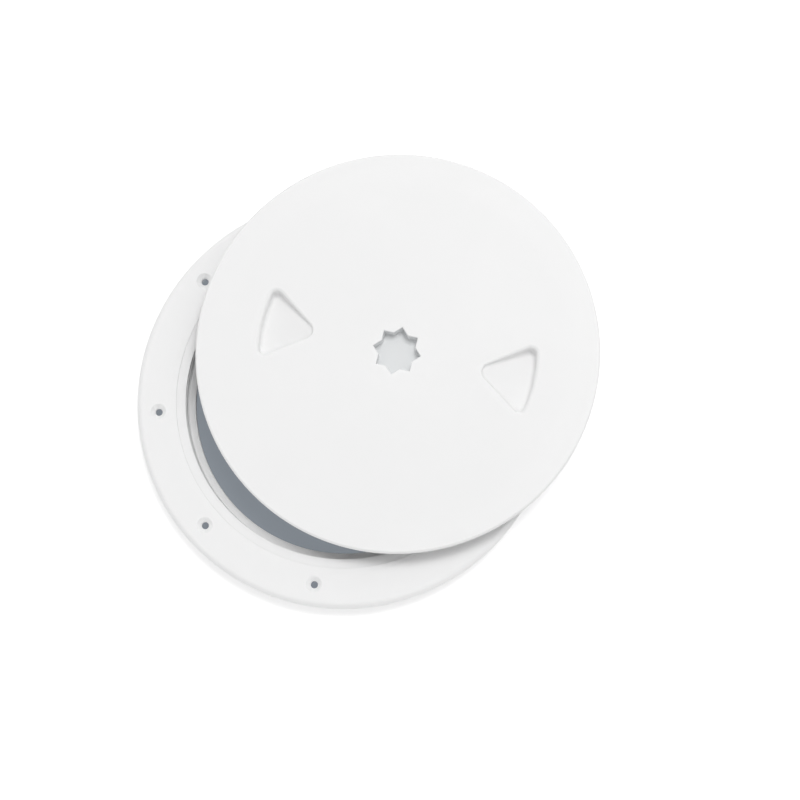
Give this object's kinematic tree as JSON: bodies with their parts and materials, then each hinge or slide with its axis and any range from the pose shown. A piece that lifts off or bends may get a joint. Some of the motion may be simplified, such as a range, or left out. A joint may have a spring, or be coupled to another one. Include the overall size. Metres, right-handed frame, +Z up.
{
  "type": "deck inspection plate",
  "caption": "Round marine deck hatch: flanged mounting ring with a threaded collar and its screw-out lid, laid on the ring off centre.",
  "frame": {"origin": "centre of the mounting ring at the flange's underside, which is the deck's surface", "axes": "+Z points up out of the deck along the ring's axis; +X points to the right of the picture and +Y to its top"},
  "size_m": [0.2878, 0.2813, 0.037],
  "materials": {
    "ring_plastic": "satin white moulding",
    "lid_plastic": "satin white moulding",
    "seal_rubber": "matt black moulded ring"
  },
  "bodies": {
    "root": {"mounting_ring": "ring_plastic", "screw_lid": "lid_plastic", "sealing_ring": "seal_rubber"}
  },
  "joints": []
}
